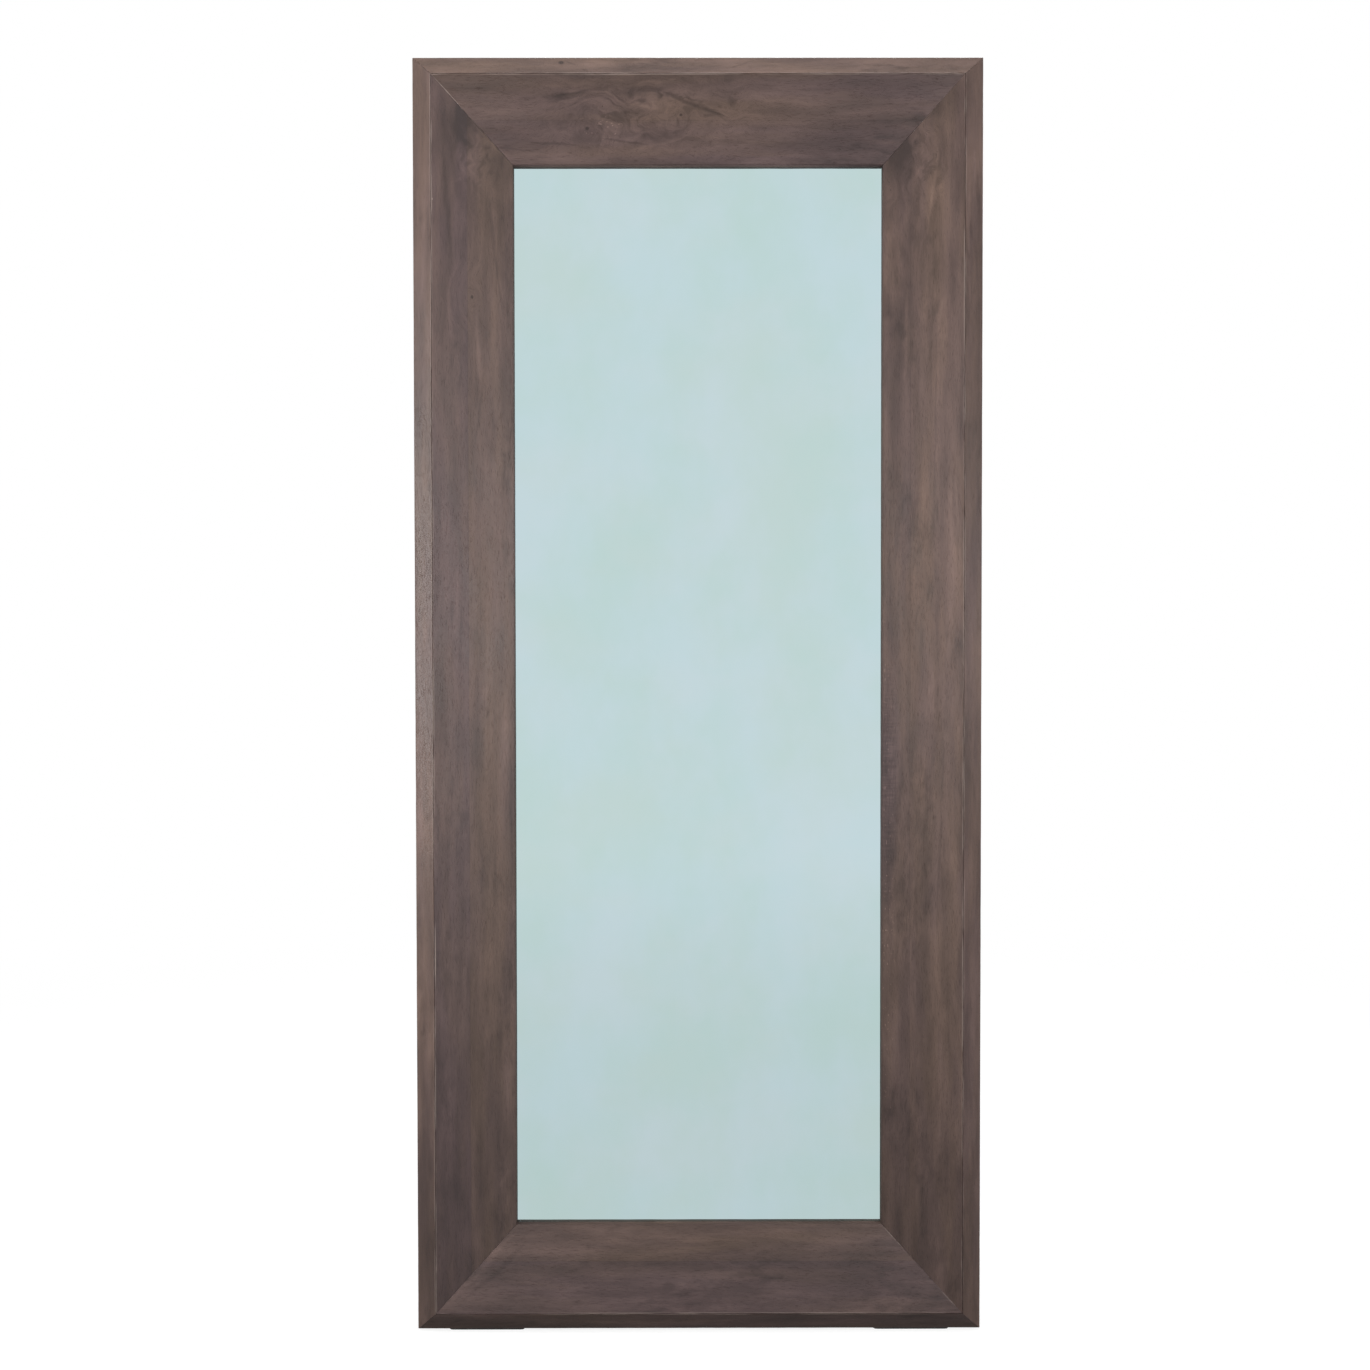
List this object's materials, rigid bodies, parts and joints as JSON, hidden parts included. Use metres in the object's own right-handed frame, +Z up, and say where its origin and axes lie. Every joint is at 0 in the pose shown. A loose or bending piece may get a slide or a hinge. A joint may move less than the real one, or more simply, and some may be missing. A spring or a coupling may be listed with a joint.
{
  "type": "leaning floor mirror",
  "caption": "Tall rectangular floor mirror in a wide mitred hardwood frame with a steep outer chamfer, with a screwed back panel and swinging ring hangers; leans on a wall.",
  "frame": {"origin": "on the floor under the middle of the mirror, at the centre of its bounding box's bottom face", "axes": "+Z up the mirror's height, +X across its width, and -Y out of the mirror's front, so +Y points to the wall behind it"},
  "size_m": [0.9, 0.0738, 2.0225],
  "materials": {
    "frame_wood": "satin",
    "mirror_glass": "polished",
    "foam": "matte",
    "fibreboard": "matte",
    "zinc_steel": "satin",
    "rubber": "matte"
  },
  "bodies": {
    "frame": {"back_panel": "fibreboard", "bottom_edge_moulding": "frame_wood", "bottom_rail_board": "frame_wood", "corner_plate_bottom_left": "zinc_steel", "corner_plate_bottom_right": "zinc_steel", "corner_plate_top_left": "zinc_steel", "corner_plate_top_right": "zinc_steel", "corner_screw_bottom_left_1": "zinc_steel", "corner_screw_bottom_left_2": "zinc_steel", "corner_screw_bottom_left_3": "zinc_steel", "corner_screw_bottom_left_4": "zinc_steel", "corner_screw_bottom_right_1": "zinc_steel", "corner_screw_bottom_right_2": "zinc_steel", "corner_screw_bottom_right_3": "zinc_steel", "corner_screw_bottom_right_4": "zinc_steel", "corner_screw_top_left_1": "zinc_steel", "corner_screw_top_left_2": "zinc_steel", "corner_screw_top_left_3": "zinc_steel", "corner_screw_top_left_4": "zinc_steel", "corner_screw_top_right_1": "zinc_steel", "corner_screw_top_right_2": "zinc_steel", "corner_screw_top_right_3": "zinc_steel", "corner_screw_top_right_4": "zinc_steel", "floor_pad_left": "rubber", "floor_pad_right": "rubber", "foam_sheet": "foam", "hanger_plate_left": "zinc_steel", "hanger_plate_right": "zinc_steel", "hanger_screw_left_1": "zinc_steel", "hanger_screw_left_2": "zinc_steel", "hanger_screw_right_1": "zinc_steel", "hanger_screw_right_2": "zinc_steel", "left_edge_moulding": "frame_wood", "left_stile_board": "frame_wood", "mirror_glass": "mirror_glass", "panel_screw_bottom_1": "zinc_steel", "panel_screw_bottom_2": "zinc_steel", "panel_screw_bottom_3": "zinc_steel", "panel_screw_left_1": "zinc_steel", "panel_screw_left_2": "zinc_steel", "panel_screw_left_3": "zinc_steel", "panel_screw_left_4": "zinc_steel", "panel_screw_right_1": "zinc_steel", "panel_screw_right_2": "zinc_steel", "panel_screw_right_3": "zinc_steel", "panel_screw_right_4": "zinc_steel", "panel_screw_top_1": "zinc_steel", "panel_screw_top_2": "zinc_steel", "panel_screw_top_3": "zinc_steel", "right_edge_moulding": "frame_wood", "right_stile_board": "frame_wood", "top_edge_moulding": "frame_wood", "top_rail_board": "frame_wood", "wall_bumper_bottom_left": "rubber", "wall_bumper_bottom_right": "rubber", "wall_bumper_top_left": "rubber", "wall_bumper_top_right": "rubber"},
    "ring_left": {"hanger_ring_left": "zinc_steel"},
    "ring_right": {"hanger_ring_right": "zinc_steel"}
  },
  "joints": [
    {"name": "ring_swing_left", "type": "hinge", "parent": "frame", "child": "ring_left", "pos_m": [-0.4345, 0.0324, 1.6025], "axis": [1, 0, 0], "range_deg": [0, 180]},
    {"name": "ring_swing_right", "type": "hinge", "parent": "frame", "child": "ring_right", "pos_m": [0.4345, 0.0324, 1.6025], "axis": [1, 0, 0], "range_deg": [0, 180]}
  ]
}
